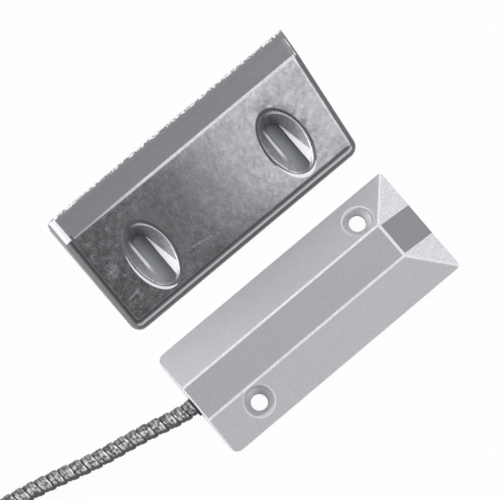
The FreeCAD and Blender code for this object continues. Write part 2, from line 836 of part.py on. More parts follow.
def build_magnet_housing():
    body = new_body("magnet_housing", MAGNET_X, MAGNET_Y)
    plan = new_sketch(body, "magnet_plan", "XY_Plane")
    draw_outline(
        plan,
        [
            ("-(magnet_left - left_inset)", "0"),
            ("magnet_right - right_inset", "0"),
            ("magnet_right", "magnet_width"),
            ("-magnet_left", "magnet_width"),
        ],
    )
    extrude(body, "Pad", plan, "magnet_height")
    width = size("magnet_width")
    tall = size("magnet_height")

    def upright(edge, y):
        spot = middle(edge)
        return near(edge.Length, tall) and near(spot.z, tall / 2) and near(spot.y, y)

    def upright_back_left(edge):
        return upright(edge, width) and middle(edge).x < 0

    round_edges(body, "front_corners", "front_corner_radius", lambda e: upright(e, 0))
    round_edges(body, "back_corner", "back_corner_radius", upright_back_left)

    wedge = new_sketch(body, "face_cut", "YZ_Plane")
    draw_outline(
        wedge,
        [
            ("-cut_over", f"magnet_front - cut_over * tan({FACE_SLOPE})"),
            (RIDGE_Y, "magnet_height"),
            (RIDGE_Y, "magnet_height + cut_over"),
            ("-cut_over", "magnet_height + cut_over"),
        ],
    )
    extrude(body, "Pocket", wedge, "2 * (magnet_left + magnet_right)", both_ways=True)

    front = size("magnet_front")
    ridge = size(RIDGE_Y)
    behind = size("magnet_width - 2 * back_corner_radius")

    def on_rim(edge):
        spot = middle(edge)
        high = all(vertex.Point.z > front - 0.01 for vertex in edge.Vertexes)
        return high and spot.y < behind and not near(spot.y, ridge)

    round_edges(body, "rim", "rim_round", on_rim)

    def on_crest(edge):
        spot = middle(edge)
        return near(spot.y, ridge) and near(spot.z, tall)

    round_edges(body, "crest", "crest_round", on_crest)

    mouth = new_sketch(
        body,
        "mouth",
        "XY_Plane",
        x="slot_along",
        y=f"{MOUTH_Y} - cutter_rise * sin({FACE_SLOPE})",
        z=f"{MOUTH_Z} + cutter_rise * cos({FACE_SLOPE})",
        tilt=FACE_SLOPE,
    )
    half_length = f"{MOUTH_LENGTH} / 2 + cutter_rise / 2"
    draw_ellipse(mouth, half_length, "mouth_width / 2 + cutter_rise / 2")
    land = new_sketch(
        body,
        "land",
        "XY_Plane",
        x="slot_along",
        y=SLOT_Y,
        z="slot_land",
    )
    draw_ellipse(land, f"{SLOT_LENGTH} / 2 + land_margin", "slot_width / 2")
    recess = body.newObject("PartDesign::SubtractiveLoft", "recess")
    recess.Profile = mouth
    recess.Sections = [land]
    recess.Ruled = True
    doc.recompute()
    slot = new_sketch(
        body,
        "slot",
        "XY_Plane",
        x="slot_along",
        y=SLOT_Y,
        z="-cut_over",
    )
    draw_slot(slot, "slot_width", SLOT_LENGTH)
    through = extrude(body, "Pocket", slot, "magnet_height + 2 * cut_over", backwards=True)
    middle_plane = next(f for f in body.Origin.OriginFeatures if f.Role == "YZ_Plane")

    def on_both_sides(name, originals):
        both = body.newObject("PartDesign::Mirrored", name)
        both.Originals = originals
        both.MirrorPlane = (middle_plane, [""])
        body.Tip = both
        doc.recompute()

    on_both_sides("both_recesses", [recess, through])

    slope = math.radians(size(FACE_SLOPE))
    middle_y = size(MOUTH_Y)
    reach = size(f"{MOUTH_LENGTH} / 2")

    def on_face(point):
        return abs(point.z - front - point.y * math.tan(slope)) < 0.02

    def mouth_line(edge):
        step = (edge.LastParameter - edge.FirstParameter) / 4
        spots = [edge.valueAt(edge.FirstParameter + i * step) for i in range(5)]
        return all(on_face(p) and abs(p.y - middle_y) < reach for p in spots)

    round_edges(body, "recess_mouths", "mouth_edge", mouth_line)

    stations = []
    for name, y, half_width in (
        ("facet_top", FACET_TOP_Y, "slot_width / 2 + facet_end"),
        ("facet_shoulders", FACET_SHOULDER_Y, FACET_SHOULDER_X),
        ("facet_low", FACET_LOW_Y, "slot_width / 2 + facet_end"),
    ):
        station = new_sketch(body, name, "XZ_Plane", x="slot_along", z=f"-({y})")
        edge_z = f"slot_land + ({half_width} - slot_width / 2) * tan(facet_angle)"
        draw_outline(
            station,
            [
                (f"-({half_width})", "magnet_height + cut_over"),
                (f"-({half_width})", edge_z),
                ("-slot_width / 2", "slot_land"),
                ("slot_width / 2", "slot_land"),
                (half_width, edge_z),
                (half_width, "magnet_height + cut_over"),
            ],
        )
        stations.append(station)
    facets = body.newObject("PartDesign::SubtractiveLoft", "facets")
    facets.Profile = stations[0]
    facets.Sections = stations[1:]
    facets.Ruled = True
    doc.recompute()
    on_both_sides("both_facets", [facets])

    bay = new_sketch(body, "magnet_bay", "XY_Plane")
    back = "magnet_width - bay_back_wall"
    draw_outline(
        bay,
        [
            ("-bay_length / 2", f"{back} - bay_width"),
            ("bay_length / 2", f"{back} - bay_width"),
            ("bay_length / 2", back),
            ("-bay_length / 2", back),
        ],
    )
    extrude(body, "Pocket", bay, "bay_depth", backwards=True)
    return body


# Bar magnets: two bars end to end in the trough under the flat top, sealed with resin.
BAR_LENGTH = "((bay_length - bar_split) / 2 - bar_gap)"


def build_magnet_bar(label, side):
    bar = doc.addObject("Part::Box", label)
    bar.Label = label
    bind(
        bar,
        Length=BAR_LENGTH,
        Width="bay_width - 2 * bar_gap",
        Height="bay_depth - bar_cover",
    )
    start = "bar_split / 2" if side > 0 else f"-bar_split / 2 - {BAR_LENGTH}"
    place(
        bar,
        f"{MAGNET_X} + {start}",
        f"{MAGNET_Y} + magnet_width - bay_back_wall - bay_width + bar_gap",
        "bar_cover",
    )
    return bar


def build_magnet_potting(bars):
    block = doc.addObject("Part::Box", "magnet_resin_block")
    bind(block, Length="bay_length", Width="bay_width", Height="bay_depth")
    place(
        block,
        f"{MAGNET_X} - bay_length / 2",
        f"{MAGNET_Y} + magnet_width - bay_back_wall - bay_width",
    )
    rooms = doc.addObject("Part::MultiFuse", "magnet_resin_rooms")
    rooms.Shapes = bars
    potting = doc.addObject("Part::Cut", "magnet_potting")
    potting.Label = "magnet_potting"
    potting.Base = block
    potting.Tool = rooms
    return potting


keep(build_switch_housing())
keep(build_end_window())
keep(build_reed_tube())
keep(build_reed_capsule())
keep(build_reed_blade("reed_blade_a", -1))
keep(build_reed_blade("reed_blade_b", 1))
keep(build_lead_sleeve("lead_sleeve_a", SLEEVE_A))
keep(build_lead_sleeve("lead_sleeve_b", SLEEVE_B))
lead_a = keep(build_inner_lead_a())
lead_b = keep(build_inner_lead_b())
collar = keep(build_hose_collar())
keep(build_switch_potting([collar, lead_a, lead_b]))
keep(round_cord("armoured_hose", hose_route(), "hose_outer"))
keep(build_hose_coil())
keep(build_hose_end_ferrule())
keep(build_end_grommet())
for mark, side in (("a", -1), ("b", 1)):
    keep(build_lead_tail(f"lead_tail_{mark}", side))
    keep(build_lead_core(f"lead_core_{mark}", side))
keep(build_magnet_housing())
magnet_bars = [keep(build_magnet_bar(f"magnet_bar_{m}", s)) for m, s in (("a", -1), ("b", 1))]
keep(build_magnet_potting(magnet_bars))

doc.recompute()
for thing in doc.Objects:
    if {"Invalid", "Error"} & set(thing.State):
        raise ValueError(f"{thing.Label} failed: {thing.State}")
os.makedirs("parts", exist_ok=True)
for subpart in SUBPARTS:
    shape = subpart.Shape
    if shape.isNull() or not shape.isValid():
        raise ValueError(f"{subpart.Label} has no valid shape")
    if len(shape.Solids) != 1:
        raise ValueError(f"{subpart.Label} has {len(shape.Solids)} solids")
    shape.exportStep(f"parts/{subpart.Label}.step")
    print(f"{subpart.Label}: {shape.Volume:.1f} cubic mm, {len(shape.Faces)} faces")
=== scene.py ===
import math

import bpy
import numpy as np
from mathutils import Matrix, Vector


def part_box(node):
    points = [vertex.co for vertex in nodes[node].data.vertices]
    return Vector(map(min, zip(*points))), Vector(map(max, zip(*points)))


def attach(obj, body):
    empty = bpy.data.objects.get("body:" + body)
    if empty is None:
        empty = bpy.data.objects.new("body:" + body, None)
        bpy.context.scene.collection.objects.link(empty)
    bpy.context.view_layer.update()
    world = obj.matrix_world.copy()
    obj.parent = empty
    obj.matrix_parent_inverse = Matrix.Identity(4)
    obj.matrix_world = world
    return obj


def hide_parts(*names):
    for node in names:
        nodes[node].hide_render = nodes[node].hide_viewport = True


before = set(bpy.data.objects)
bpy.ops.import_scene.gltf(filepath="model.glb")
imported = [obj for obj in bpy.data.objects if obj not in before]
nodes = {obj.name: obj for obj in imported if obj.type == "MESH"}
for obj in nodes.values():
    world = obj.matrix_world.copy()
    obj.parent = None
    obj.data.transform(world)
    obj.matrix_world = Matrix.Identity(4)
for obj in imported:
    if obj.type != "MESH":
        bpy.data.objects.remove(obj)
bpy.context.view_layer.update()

# Camera: almost straight above the two units, turned so that they lie across the picture
# from the lower left to the upper right.
AZIMUTH = math.radians(-40.14)
ELEVATION = math.radians(82.48)
DISTANCE = 1.1
AIM = Vector((-0.00339, 0.00031, 0.0))
LENS = 236.8
SENSOR = 36.0

camera_right = Vector((math.cos(AZIMUTH), math.sin(AZIMUTH), 0.0))
camera_back = Vector((
    math.sin(AZIMUTH) * math.cos(ELEVATION),
    -math.cos(AZIMUTH) * math.cos(ELEVATION),
    math.sin(ELEVATION),
))
camera_up = camera_back.cross(camera_right)
camera = bpy.data.objects.new("camera", bpy.data.cameras.new("camera"))
camera.data.lens = LENS
camera.data.sensor_width = SENSOR
camera.data.clip_start = 0.05
camera.data.clip_end = 20.0
camera.matrix_world = (
    Matrix.Translation(AIM + camera_back * DISTANCE)
    @ Matrix((camera_right, camera_up, camera_back)).transposed().to_4x4()
)
bpy.context.scene.collection.objects.link(camera)
bpy.context.scene.camera = camera
bpy.context.scene.view_settings.view_transform = "Standard"

# Armoured hose: a strip of plated steel wound into an interlocked helix. It leaves the switch
# unit's square end, bends down to the surface, and its spare length lies in two turns of coil.
# Its run and its coil are in millimetres and degrees.
HOSE_DIAMETER = 0.006
HOSE_PITCH = 0.0042
HOSE_RUN = (
    (-43.25, -28.55, 4.9),
    (-54.0, -28.55, 4.9),
    (-69.5, -24.3, 3.9),
    (-88.0, -21.0, 3.1),
    (-105.5, -15.9, 3.0),
    (-122.0, -12.6, 3.0),
    (-138.5, -11.5, 3.0),
    (-152.0, -11.5, 3.0),
)
COIL_CENTRE = (-152.0, 21.5)
COIL_RADIUS = 33.0
COIL_TURNED = 574.0
COIL_STEP = 20.5
COIL_CLIMB = (286.0, 342.0)
COIL_HEIGHTS = (3.0, 9.5)
HOSE_STUB = 11.0

# The strip over one pitch, as pairs of a share of the pitch and how far the strip lies below
# the full radius, in millimetres, or how pale it is: a painted highlight on its ridges and
# painted shade in its grooves.
STRIP_DEPTH = (
    (0.0, 0.62), (0.05, 0.28), (0.10, 0.06), (0.28, 0.0), (0.46, 0.05), (0.53, 0.12),
    (0.57, 0.32), (0.62, 0.26), (0.75, 0.20), (0.88, 0.28), (0.94, 0.58), (1.0, 0.62),
)
STRIP_HIGHLIGHT = (
    (0.0, 0.04), (0.05, 0.20), (0.10, 0.85), (0.16, 1.00), (0.22, 0.75), (0.29, 0.38),
    (0.36, 0.85), (0.43, 1.00), (0.50, 0.45), (0.57, 0.07), (0.64, 0.50), (0.71, 0.95),
    (0.78, 0.60), (0.85, 0.80), (0.93, 0.07), (1.0, 0.04),
)
HOSE_SIDES = 30
HOSE_RINGS = 20
HOSE_HIGHLIGHT = (0.93, 0.94, 0.97)
HOSE_SHADE_GREY = (0.055, 0.056, 0.060)


def coil_point(turned, radius, height):
    """A point of the coil: turned degrees clockwise from its south point, in millimetres."""
    angle = math.radians(-90.0 - turned)
    x, y = COIL_CENTRE
    return (x + radius * math.cos(angle), y + radius * math.sin(angle), height)


def coil_points():
    """Control points round both turns. They lie a little outside the turn, because the line
    cuts inside them. The climb from the lower turn to the upper one comes before the place
    where the hose arrives."""
    turned = np.arange(COIL_STEP, COIL_TURNED + 0.1, COIL_STEP)
    reach = COIL_RADIUS / math.cos(math.radians(COIL_STEP / 2)) ** 0.5
    height = np.interp(turned, COIL_CLIMB, COIL_HEIGHTS)
    return [coil_point(t, reach, h) for t, h in zip(turned, height)]


def coil_exit():
    """The end of the coil and the direction in which the hose leaves it, both as vectors."""
    angle = math.radians(-90.0 - COIL_TURNED)
    spot = Vector(coil_point(COIL_TURNED, COIL_RADIUS, COIL_HEIGHTS[1]))
    return spot, Vector((math.sin(angle), -math.cos(angle), 0.0))


def route_curve(name, points):
    """A smooth curve with these points, in millimetres, as its control points."""
    curve = bpy.data.curves.new(name, "CURVE")
    curve.dimensions = "3D"
    curve.resolution_u = 16
    spline = curve.splines.new("NURBS")
    spline.points.add(len(points) - 1)
    for control, point in zip(spline.points, points):
        control.co = (*(c / 1000.0 for c in point), 1.0)
    spline.order_u = 3
    spline.use_endpoint_u = True
    thing = bpy.data.objects.new(name, curve)
    bpy.context.scene.collection.objects.link(thing)
    return thing


def centre_line(points, spacing):
    """The smooth curve's own line as an array of points that are evenly spaced along it, and
    how far along it each of them lies."""
    guide = route_curve("hose_guide", points)
    line = bpy.data.meshes.new_from_object(guide)
    spots = np.empty(len(line.vertices) * 3)
    line.vertices.foreach_get("co", spots)
    spots = spots.reshape(-1, 3)
    bpy.data.objects.remove(guide)
    bpy.data.meshes.remove(line)
    along = np.concatenate(([0.0], np.cumsum(np.linalg.norm(np.diff(spots, axis=0), axis=1))))
    count = int(round(along[-1] / spacing)) + 1
    even = np.linspace(0.0, along[-1], count)
    return np.stack([np.interp(even, along, spots[:, i]) for i in range(3)], axis=1), even


def grid_faces(rows, columns):
    """Quads between neighbouring rows of a tube whose columns close on themselves, and one
    many-sided face over each end."""
    corner = np.arange((rows - 1) * columns).reshape(rows - 1, columns)
    beside = np.roll(corner, -1, axis=1)
    quads = np.stack((corner, beside, beside + columns, corner + columns), axis=-1)
    faces = quads.reshape(-1, 4).tolist()
    first = list(range(columns - 1, -1, -1))
    last = list(range((rows - 1) * columns, rows * columns))
    return [*faces, first, last]


def ring_directions(line, count):
    """The directions from a line to the points of a ring round it, where the line never
    stands upright: cos a * sideways + sin a * upwards."""
    heading = np.gradient(line, axis=0)
    heading /= np.linalg.norm(heading, axis=1, keepdims=True)
    sideways = np.cross(heading, (0.0, 0.0, 1.0))
    sideways /= np.linalg.norm(sideways, axis=1, keepdims=True)
    upwards = np.cross(sideways, heading)
    angle = np.linspace(0.0, 2.0 * np.pi, count, endpoint=False)
    return (
        np.cos(angle)[None, :, None] * sideways[:, None, :]
        + np.sin(angle)[None, :, None] * upwards[:, None, :]
    )


def new_piece(name, points, faces):
    """A smooth mesh object from an array of points and a list of faces."""
    mesh = bpy.data.meshes.new(name)
    mesh.from_pydata(points.reshape(-1, 3).tolist(), [], faces)
    mesh.polygons.foreach_set("use_smooth", np.ones(len(mesh.polygons), dtype=bool))
    mesh.update()
    piece = bpy.data.objects.new(name, mesh)
    bpy.context.scene.collection.objects.link(piece)
    return piece


def build_hose():
    """The wound hose: line + (radius - depth of the strip) * direction, on a grid of rings.
    The strip's profile repeats each pitch, and its phase turns once round the hose per pitch.
    Three attributes follow it: strip is how pale the strip is, a painted highlight on its ridges
    and painted shade in its grooves; the second is painted shade on the hose's front, back and
    underside; the third is two painted highlight lines along its top."""
    end, heading = coil_exit()
    tip = tuple(end + heading * HOSE_STUB)
    middle = tuple(end + heading * HOSE_STUB * 0.4)
    points = [*HOSE_RUN, *coil_points(), middle, tip]
    line, along = centre_line(points, HOSE_PITCH / HOSE_RINGS)
    angle = np.linspace(0.0, 2.0 * np.pi, HOSE_SIDES, endpoint=False)
    phase = (along[:, None] / HOSE_PITCH + angle[None, :] / (2.0 * np.pi)) % 1.0
    depth = np.interp(phase, *zip(*STRIP_DEPTH))
    strip = np.interp(phase, *zip(*STRIP_HIGHLIGHT))
    ring = ring_directions(line, HOSE_SIDES)
    radius = HOSE_DIAMETER / 2 - depth / 1000.0
    hose = new_piece(
        "armoured_hose_wound",
        line[:, None, :] + radius[:, :, None] * ring,
        grid_faces(len(line), HOSE_SIDES),
    )
    # Painted shade on the hose's front, back and underside, and painted highlight lines along its
    # top.
    to_back, to_sky = ring[:, :, 1], ring[:, :, 2]
    front = np.clip((-to_back - 0.45) / 0.22, 0.0, 1.0)
    behind = np.clip((to_back - 0.14) / 0.45, 0.0, 1.0)
    low = np.clip((0.1 - to_sky) / 0.5, 0.0, 1.0)
    hose_shade = np.maximum.reduce((front, 0.66 * behind, low))
    lower_line = np.clip(1.9 - np.abs(to_back + 0.29) / 0.11, 0.0, 1.0)
    upper_line = np.clip(1.2 - np.abs(to_back - 0.16) / 0.09, 0.0, 0.55)
    highlight_lines = np.maximum(lower_line, upper_line) * strip * (1.0 - low)
    for name, value in (("strip", strip), ("hose_shade", hose_shade), ("highlight_lines", highlight_lines)):
        layer = hose.data.attributes.new(name, "FLOAT", "POINT")
        layer.data.foreach_set("value", value.astype(np.float32).ravel())
    return hose, line


class Value:
    """A number or a colour that shader nodes work out at each point. Arithmetic on it adds
    the nodes that do it."""

    def __init__(self, tree, socket):
        self.tree = tree
        self.socket = socket

    def __add__(self, other):
        return self.tree.maths("ADD", self, other)

    def __radd__(self, other):
        return self.tree.maths("ADD", other, self)

    def __sub__(self, other):
        return self.tree.maths("SUBTRACT", self, other)

    def __rsub__(self, other):
        return self.tree.maths("SUBTRACT", other, self)

    def __mul__(self, other):
        return self.tree.maths("MULTIPLY", self, other)

    def __rmul__(self, other):
        return self.tree.maths("MULTIPLY", other, self)

    def __truediv__(self, other):
        return self.tree.maths("DIVIDE", self, other)

    def __abs__(self):
        return self.tree.maths("ABSOLUTE", self)


class NodeTree:
    """Short ways to build a tree of shader nodes. Wherever a number or a colour is asked for,
    a Value does too."""

    def __init__(self, tree):
        self.tree = tree

    def find(self, kind):
        """The tree's own node of a kind."""
        return next(n for n in self.tree.nodes if n.type == kind)

    def add(self, kind, **settings):
        """A new node. A setting that the node itself doesn't have goes to the input of that
        name, with _ for a space."""
        node = self.tree.nodes.new(kind)
        for key, value in settings.items():
            if hasattr(node, key):
                setattr(node, key, value)
            else:
                self.feed(value, node.inputs[key.replace("_", " ")])
        return node

    def feed(self, source, socket):
        """Joins a Value to a socket, or sets the socket to a number, vector or colour."""
        if isinstance(source, Value):
            self.tree.links.new(source.socket, socket)
        elif socket.type == "RGBA":
            socket.default_value = (*source, 1.0)
        else:
            socket.default_value = source

    def maths(self, operation, *terms):
        """A Math node's result: the operation is named as Blender names it."""
        node = self.add("ShaderNodeMath", operation=operation)
        for term, socket in zip(terms, node.inputs):
            self.feed(term, socket)
        return Value(self, node.outputs[0])

    def highest(self, first, *others):
        """The highest of some numbers at each point."""
        for other in others:
            first = self.maths("MAXIMUM", first, other)
        return first

    def fade(self, value, start, full):
        """0 at start, 1 at full, smooth between."""
        node = self.add("ShaderNodeMapRange", interpolation_type="SMOOTHSTEP")
        node.inputs["From Min"].default_value = start
        node.inputs["From Max"].default_value = full
        self.feed(value, node.inputs["Value"])
        return Value(self, node.outputs[0])

    def mixed(self, share, first, second, **settings):
        """The first colour where the share is 0, and the second where it is 1."""
        node = self.add("ShaderNodeMix", data_type="RGBA", **settings)
        for source, place in ((share, 0), (first, 6), (second, 7)):
            self.feed(source, node.inputs[place])
        return Value(self, node.outputs[2])

    def tinted(self, first, second):
        """The product of two colours."""
        return self.mixed(1.0, first, second, blend_type="MULTIPLY")

    def ramp(self, source, stops):
        """Greys that follow a number: stops are (number, grey) pairs."""
        node = self.add("ShaderNodeValToRGB")
        elements = node.color_ramp.elements
        while len(elements) > 1:
            elements.remove(elements[-1])
        elements[0].position = stops[0][0]
        elements[0].color = (*[stops[0][1]] * 3, 1.0)
        for position, grey in stops[1:]:
            elements.new(position).color = (*[grey] * 3, 1.0)
        self.feed(source, node.inputs[0])
        return Value(self, node.outputs[0])

    def place(self):
        """The point in the object's own coordinates, in metres."""
        return Value(self, self.add("ShaderNodeTexCoord").outputs["Object"])

    def along_axes(self):
        """The same point as three numbers."""
        split = self.add("ShaderNodeSeparateXYZ", Vector=self.place())
        return [Value(self, socket) for socket in split.outputs]

    def noise(self, scale, detail=3.0, roughness=0.6, place=None):
        """A noise pattern fixed to the object's own place, scale in cells per metre."""
        node = self.add("ShaderNodeTexNoise", Scale=scale, Detail=detail, Roughness=roughness)
        self.feed(place or self.place(), node.inputs["Vector"])
        return Value(self, node.outputs["Fac"])

    def bump(self, height, strength, distance):
        """Fine relief of up to this distance, in metres."""
        node = self.add("ShaderNodeBump", Strength=strength, Distance=distance, Height=height)
        return Value(self, node.outputs["Normal"])


class Finish(NodeTree):
    """A new material, and its Principled shader."""

    def __init__(self, name):
        self.material = bpy.data.materials.new(name)
        self.material.use_nodes = True
        super().__init__(self.material.node_tree)
        self.shader = self.find("BSDF_PRINCIPLED")

    def close(self, **inputs):
        """Feeds the shader's inputs, named with _ for a space, and gives the material."""
        for name, source in inputs.items():
            self.feed(source, self.shader.inputs[name.replace("_", " ")])
        return self.material


def hose_steel():
    """Plated strip, cloudy with stain. Its paleness along the strip is painted light and shade. It
    is pale with painted highlight lines along its top, and dull and dark with painted shade on its
    front, back and underside."""
    f = Finish("hose_steel")
    strip, hose_shade, highlight_lines = (
        Value(f, f.add("ShaderNodeAttribute", attribute_name=name).outputs["Fac"])
        for name in ("strip", "hose_shade", "highlight_lines")
    )
    stain = f.ramp(f.noise(700.0, 1.0), ((0.42, 0.25), (0.52, 1.0)))
    broken_highlight = highlight_lines * stain
    plate = f.mixed(broken_highlight, f.tinted(strip, stain), HOSE_HIGHLIGHT)
    return f.close(
        Base_Color=f.mixed(hose_shade, plate, HOSE_SHADE_GREY),
        Metallic=f.ramp(f.highest(hose_shade, broken_highlight), ((0.0, 0.65), (1.0, 0.2))),
        Roughness=f.ramp(f.noise(2500.0), ((0.3, 0.20), (0.7, 0.38))),
        Normal=f.bump(f.noise(1500.0), 0.12, 0.0002),
    )


hose, hose_line = build_hose()
hose.data.materials.append(hose_steel())
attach(hose, "root")
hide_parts("armoured_hose", "armoured_hose_coil")

# Lead tails: two insulated leads come out of the grommet and lie on the coil's lower turn,
# each with its end stripped. The steps are degrees turned, distance from the coil's middle
# and height above the height at which the leads lie.
TAIL_DIAMETER = 0.0012
TAIL_SIDE = 0.8
TAIL_START = 15.0
TAIL_STRAIGHT = 4.0
TAIL_HEIGHT = 6.6
TAIL_STEPS = (
    (15.0, 37.2, 1.6),
    (25.0, 35.8, 0.2),
    (35.0, 34.4, 0.1),
    (45.0, 33.2, 0.1),
    (55.0, 32.8, 0.1),
)


def tail_points(side):
    """Points past the grommet, curving round with the lower turn. side is -1 or 1."""
    end, heading = coil_exit()
    sideways = heading.cross(Vector((0.0, 0.0, 1.0)))
    start = end + heading * TAIL_START
    leave = start + sideways * side * TAIL_SIDE
    points = [tuple(leave), tuple(leave + heading * TAIL_STRAIGHT)]
    x, y = COIL_CENTRE
    first = math.atan2(start.y - y, start.x - x)
    for turned, distance, lift in TAIL_STEPS:
        angle = first - math.radians(turned)
        away = distance - side * TAIL_SIDE
        height = TAIL_HEIGHT + lift
        points.append((x + away * math.cos(angle), y + away * math.sin(angle), height))
    return points


def insulation(name, colour):
    """Flexible plastic insulation, slightly glossy."""
    f = Finish(name)
    shade = f.ramp(f.noise(600.0), ((0.3, 0.9), (0.7, 1.0)))
    return f.close(Base_Color=f.tinted(colour, shade), Roughness=0.42)


white_insulation = insulation("white_insulation", (0.80, 0.79, 0.76))
black_insulation = insulation("black_insulation", (0.025, 0.025, 0.028))
for mark, side, length, jacket, slot in (
    ("a", -1, 0.0355, white_insulation, "lead_white"),
    ("b", 1, 0.0335, black_insulation, "lead_black"),
):
    route = tail_points(side)
    tail = route_curve(f"lead_tail_{mark}_soft", route)
    tail.data.bevel_depth = TAIL_DIAMETER / 2
    tail.data.bevel_resolution = 5
    tail.data.use_fill_caps = True
    tail.data.materials.append(jacket)
    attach(tail, "root")
    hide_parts(f"lead_tail_{mark}")
    tuple(c / 1000.0 for c in route[0])

# Ground and studio light: white paper under a pale room with a few dark cards, and soft boxes.
# The paper's white lift stops under the magnet unit, so that its slots show shaded paper, and
# there the paper is painted a darker bluish grey as shade.
GROUND_SIZE = 3.0
GROUND_DROP = 0.0002
PAPER = (0.90, 0.90, 0.90)
SHADED_PAPER = (0.66, 0.68, 0.74)
PAPER_LIFT = 0.96
GLOSS_LIFT = 0.25


def build_ground():
    """One square just below the surface that the object lies on."""
    mesh = bpy.data.meshes.new("ground")
    half = GROUND_SIZE / 2
    low = -GROUND_DROP
    corners = [(-half, -half, low), (half, -half, low), (half, half, low), (-half, half, low)]
    mesh.from_pydata(corners, [], [(0, 1, 2, 3)])
    piece = bpy.data.objects.new("ground", mesh)
    bpy.context.scene.collection.objects.link(piece)
    return piece


def paper(covered_low, covered_high):
    """White paper that keeps a faint shadow. It shows white to the camera and through glass,
    and a share of that in gloss, but not between the two covered corners, where it is painted
    a darker grey as shade."""
    f = Finish("paper")
    rays = f.add("ShaderNodeLightPath").outputs
    seen, gloss, through = (
        Value(f, rays[f"Is {kind} Ray"]) for kind in ("Camera", "Glossy", "Transmission")
    )
    white = f.highest(f.highest(seen, through) * PAPER_LIFT, gloss * GLOSS_LIFT)
    inside = [
        f.maths("COMPARE", value, (low + high) / 2, (high - low) / 2)
        for value, low, high in zip(f.along_axes(), covered_low, covered_high)
    ]
    covered = inside[0] * inside[1]
    lift = white * (1.0 - covered)
    f.close(Base_Color=f.mixed(covered, PAPER, SHADED_PAPER), Roughness=0.9)
    lit = f.add("ShaderNodeMixShader")
    for source, socket in zip(
        (lift.socket, f.shader.outputs[0], f.add("ShaderNodeEmission").outputs[0]), lit.inputs
    ):
        f.tree.links.new(source, socket)
    f.tree.links.new(lit.outputs[0], f.find("OUTPUT_MATERIAL").inputs["Surface"])
    return f.material


magnet_low, magnet_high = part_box("magnet_housing")
ground = build_ground()
ground.data.materials.append(paper(
    (magnet_low[0] + 0.006, magnet_low[1] + 0.001),
    (magnet_high[0] - 0.010, magnet_high[1] - 0.001),
))

# How pale the room is from its floor line to its zenith, and the cards that hang in it, dark
# and pale: each is a direction, the cosines where it starts and is full, and its own grey.
ROOM_SHADES = ((0.0, 1.18), (0.32, 1.08), (0.58, 0.56), (0.80, 0.36), (1.0, 0.30))
CARDS = (
    ((0.00, -0.53, 0.85), 0.90, 0.98, 0.06),
    ((-0.50, -0.62, 0.60), 0.86, 0.95, 0.14),
    ((0.74, -0.32, 0.60), 0.90, 0.96, 0.10),
    ((0.97, 0.05, 0.24), 0.86, 0.97, 1.15),
    ((-0.66, 0.70, 0.28), 0.84, 0.97, 1.6),
)


def room():
    """A room whose walls are pale and whose ceiling is darker. It fades to a card's grey as
    the cosine between the direction looked at and the card's own grows."""
    world = bpy.data.worlds.new("room")
    world.use_nodes = True
    f = NodeTree(world.node_tree)
    looked_at = Value(f, f.add("ShaderNodeTexCoord").outputs["Generated"])
    split = f.add("ShaderNodeSeparateXYZ", Vector=looked_at)
    light = f.ramp(Value(f, split.outputs["Z"]), ROOM_SHADES)
    for direction, start, full, grey in CARDS:
        cosine = f.add("ShaderNodeVectorMath", operation="DOT_PRODUCT")
        f.feed(looked_at, cosine.inputs[0])
        f.feed(Vector(direction).normalized(), cosine.inputs[1])
        share = f.fade(Value(f, cosine.outputs["Value"]), start, full)
        light = f.mixed(share, light, (grey, grey, grey))
    f.feed(light, f.find("BACKGROUND").inputs["Color"])
    bpy.context.scene.world = world


def soft_box(name, at, towards, width, height, watts):
    """A rectangular lamp at one point, facing another."""
    lamp = bpy.data.lights.new(name, "AREA")
    lamp.shape = "RECTANGLE"
    lamp.size = width
    lamp.size_y = height
    lamp.energy = watts
    thing = bpy.data.objects.new(name, lamp)
    thing.location = at
    thing.rotation_mode = "QUATERNION"
    aim = Vector(towards) - Vector(at)
    thing.rotation_quaternion = aim.to_track_quat("-Z", "Y")
    bpy.context.scene.collection.objects.link(thing)


room()
soft_box("left_box", (-0.75, 0.20, 0.45), (0.0, 0.02, 0.0), 0.65, 0.60, 2.4)
soft_box("top_box", (0.46, 0.36, 0.72), (0.0, 0.0, 0.0), 1.00, 0.80, 2.3)
soft_box("front_box", (0.0, -0.80, 0.34), (0.0, 0.0, 0.0), 0.90, 0.40, 0.9)
soft_box("face_box", (0.26, -0.27, 0.45), (0.08, 0.03, 0.0), 0.34, 0.36, 0.40)

# Switch casting: bead-blasted aluminium. Its roof's folds, its square end and the rings of its
# screw holes carry painted highlights as pale scuffed lines. Its sizes are in millimetres.
METAL_TINT = (0.975, 0.988, 1.04)
CROWN_HALF = 6.7
HIP_LENGTH = 13.3
HOLE_ALONG = 31.8
HOLE_ACROSS = 12.3
HOLE_RING = 5.3
BLASTED_METAL = 0.4
SKIN_GREYS = (0.445, 0.537)
HIP_LIT_GREYS = (0.62, 0.85)
FOLD_HIGHLIGHT_GREYS = (0.80, 0.96)
END_HIGHLIGHT_GREY = 0.88
RING_HIGHLIGHT_GREY = 0.76
WALL_LIGHT = 1.38


